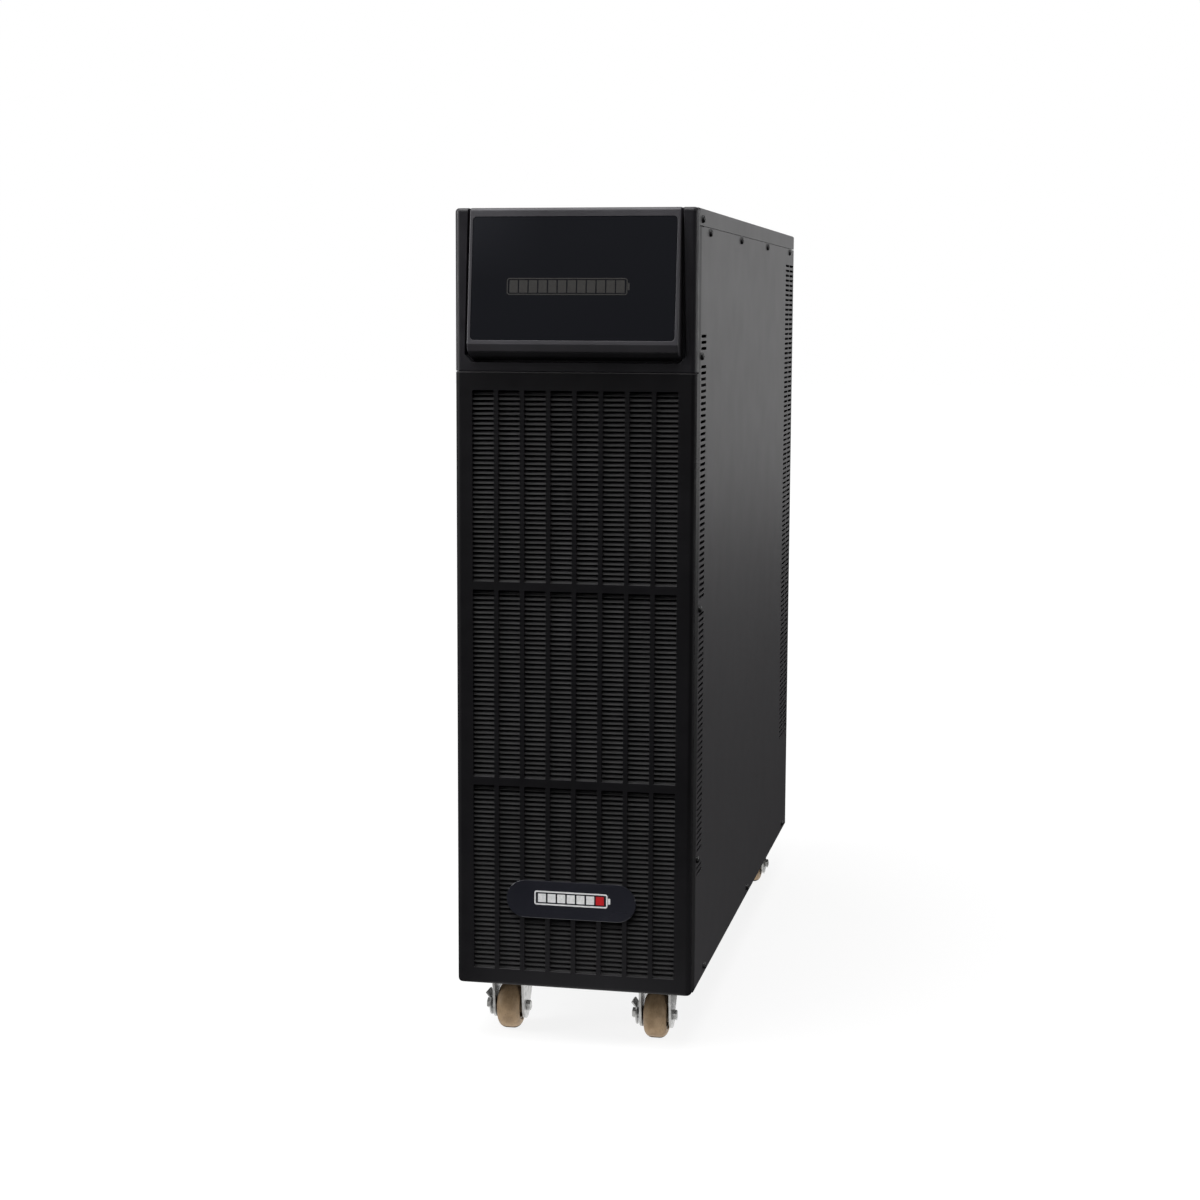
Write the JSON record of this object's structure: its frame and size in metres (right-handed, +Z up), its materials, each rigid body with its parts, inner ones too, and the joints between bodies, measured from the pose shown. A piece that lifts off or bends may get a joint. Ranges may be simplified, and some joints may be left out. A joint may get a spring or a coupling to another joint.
{
  "type": "external ups battery cabinet",
  "caption": "Tall narrow steel battery cabinet for an on-line UPS, with a louvred plastic front, a dark display window, rear DC sockets and breaker, on swivel casters.",
  "frame": {"origin": "on the floor, at the centre of the cabinet's footprint", "axes": "+Z up; the front with the display faces -Y; +X is to the right of someone who faces the front"},
  "size_m": [0.256, 0.847, 0.872],
  "materials": {
    "powder_coat": "satin",
    "chassis_steel": "satin",
    "fascia_plastic": "matte",
    "bezel_plastic": "satin",
    "window_gloss": "gloss",
    "filter_foam": "matte",
    "badge_gloss": "gloss",
    "black_screw": "satin",
    "battery_case": "matte",
    "tinned_brass": "satin",
    "moulded_grey": "satin",
    "fuse_ceramic": "gloss",
    "toggle_plastic": "satin",
    "connector_plastic": "satin",
    "silvered_contact": "satin",
    "stud_brass": "satin",
    "cable_red": "matte",
    "cable_black": "matte",
    "wheel_core": "matte",
    "wheel_tread": "matte",
    "zinc_plate": "satin"
  },
  "bodies": {
    "cabinet": {"badge": "badge_gloss", "base_pan": "chassis_steel", "batteries_1": "battery_case", "batteries_2": "battery_case", "batteries_3": "battery_case", "batteries_4": "battery_case", "batteries_5": "battery_case", "battery_links": "tinned_brass", "battery_retainers": "chassis_steel", "battery_tray_1": "chassis_steel", "battery_tray_2": "chassis_steel", "battery_tray_3": "chassis_steel", "battery_tray_4": "chassis_steel", "battery_tray_5": "chassis_steel", "caster_bolts": "zinc_plate", "caster_plate_front_left": "zinc_plate", "caster_plate_front_right": "zinc_plate", "caster_plate_rear_left": "zinc_plate", "caster_plate_rear_right": "zinc_plate", "connector_contacts": "silvered_contact", "dc_breaker": "moulded_grey", "dc_connectors": "connector_plastic", "display_housing": "bezel_plastic", "display_window": "window_gloss", "front_crossbars": "chassis_steel", "front_uprights": "powder_coat", "fuse_blocks": "moulded_grey", "grille_filter": "filter_foam", "grille_louvres": "fascia_plastic", "ground_stud": "stud_brass", "inner_frame": "chassis_steel", "left_side_panel": "powder_coat", "lower_fascia": "fascia_plastic", "negative_cable": "cable_black", "panel_screws": "black_screw", "positive_cable": "cable_red", "rear_panel": "powder_coat", "right_side_panel": "powder_coat", "string_fuses": "fuse_ceramic", "top_cover": "powder_coat", "upper_fascia": "fascia_plastic"},
    "swivel_front_left": {"caster_fork_front_left": "zinc_plate", "caster_axle_front_left": "zinc_plate"},
    "wheel_front_left": {"wheel_core_front_left": "wheel_core", "wheel_tread_front_left": "wheel_tread"},
    "brake_front_left": {"brake_lever_front_left": "zinc_plate"},
    "swivel_front_right": {"caster_fork_front_right": "zinc_plate", "caster_axle_front_right": "zinc_plate"},
    "wheel_front_right": {"wheel_core_front_right": "wheel_core", "wheel_tread_front_right": "wheel_tread"},
    "brake_front_right": {"brake_lever_front_right": "zinc_plate"},
    "swivel_rear_left": {"caster_fork_rear_left": "zinc_plate", "caster_axle_rear_left": "zinc_plate"},
    "wheel_rear_left": {"wheel_core_rear_left": "wheel_core", "wheel_tread_rear_left": "wheel_tread"},
    "swivel_rear_right": {"caster_fork_rear_right": "zinc_plate", "caster_axle_rear_right": "zinc_plate"},
    "wheel_rear_right": {"wheel_core_rear_right": "wheel_core", "wheel_tread_rear_right": "wheel_tread"},
    "switch": {"breaker_toggle": "toggle_plastic"}
  },
  "joints": [
    {"name": "caster_swivel_front_left", "type": "hinge", "parent": "cabinet", "child": "swivel_front_left", "pos_m": [-0.08, -0.3335, 0.0575], "axis": [0, 0, 1], "continuous": true},
    {"name": "wheel_spin_front_left", "type": "hinge", "parent": "swivel_front_left", "child": "wheel_front_left", "pos_m": [-0.08, -0.3495, 0.025], "axis": [1, 0, 0], "continuous": true},
    {"name": "brake_press_front_left", "type": "hinge", "parent": "swivel_front_left", "child": "brake_front_left", "pos_m": [-0.101, -0.3495, 0.025], "axis": [1, 0, 0], "range_deg": [0, 25]},
    {"name": "caster_swivel_front_right", "type": "hinge", "parent": "cabinet", "child": "swivel_front_right", "pos_m": [0.08, -0.3335, 0.0575], "axis": [0, 0, 1], "continuous": true},
    {"name": "wheel_spin_front_right", "type": "hinge", "parent": "swivel_front_right", "child": "wheel_front_right", "pos_m": [0.08, -0.3495, 0.025], "axis": [1, 0, 0], "continuous": true},
    {"name": "brake_press_front_right", "type": "hinge", "parent": "swivel_front_right", "child": "brake_front_right", "pos_m": [0.059, -0.3495, 0.025], "axis": [1, 0, 0], "range_deg": [0, 25]},
    {"name": "caster_swivel_rear_left", "type": "hinge", "parent": "cabinet", "child": "swivel_rear_left", "pos_m": [-0.09, 0.3125, 0.0575], "axis": [0, 0, 1], "continuous": true},
    {"name": "wheel_spin_rear_left", "type": "hinge", "parent": "swivel_rear_left", "child": "wheel_rear_left", "pos_m": [-0.09, 0.3285, 0.025], "axis": [1, 0, 0], "continuous": true},
    {"name": "caster_swivel_rear_right", "type": "hinge", "parent": "cabinet", "child": "swivel_rear_right", "pos_m": [0.09, 0.3125, 0.0575], "axis": [0, 0, 1], "continuous": true},
    {"name": "wheel_spin_rear_right", "type": "hinge", "parent": "swivel_rear_right", "child": "wheel_rear_right", "pos_m": [0.09, 0.3285, 0.025], "axis": [1, 0, 0], "continuous": true},
    {"name": "breaker_switch", "type": "hinge", "parent": "cabinet", "child": "switch", "pos_m": [-0.062, 0.4085, 0.776], "axis": [1, 0, 0], "range_deg": [0, 60]}
  ]
}
